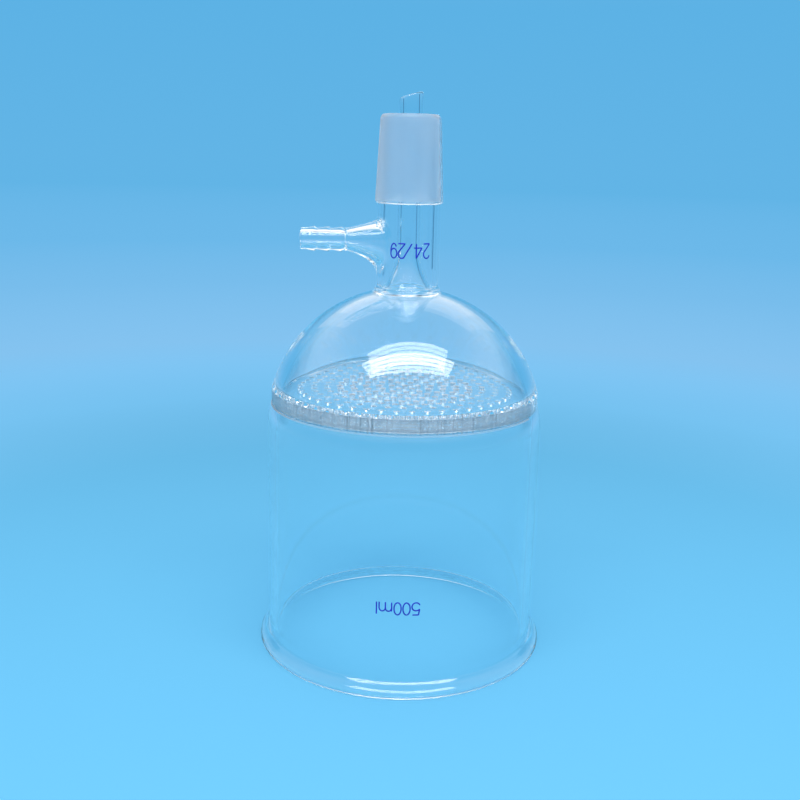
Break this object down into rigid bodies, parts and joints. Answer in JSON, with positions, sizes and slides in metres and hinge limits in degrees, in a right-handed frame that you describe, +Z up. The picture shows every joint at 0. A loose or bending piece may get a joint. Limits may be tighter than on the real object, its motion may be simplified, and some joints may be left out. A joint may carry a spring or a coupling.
{
  "type": "perforated-plate glass filter funnel",
  "caption": "Glass filter funnel with a flared cylinder, a perforated plate, a dome, a drip stem inside a ground 24/29 joint and a side hose connector, standing on its rim.",
  "frame": {"origin": "centre of the plane that the funnel's rim rests in when it stands upside down", "axes": "+Z up along the funnel's axis to the drip tip, -X towards the hose connector"},
  "size_m": [0.1068, 0.1068, 0.2007],
  "materials": {
    "clear_glass": "clear borosilicate glass, frosted on the ground cone",
    "plate_glass": "clear glass with a satin edge"
  },
  "bodies": {
    "root": {"lipped_cylinder": "clear_glass", "perforated_plate": "plate_glass", "dome": "clear_glass", "drip_stem": "clear_glass", "joint_neck": "clear_glass", "hose_barb": "clear_glass"}
  },
  "joints": []
}
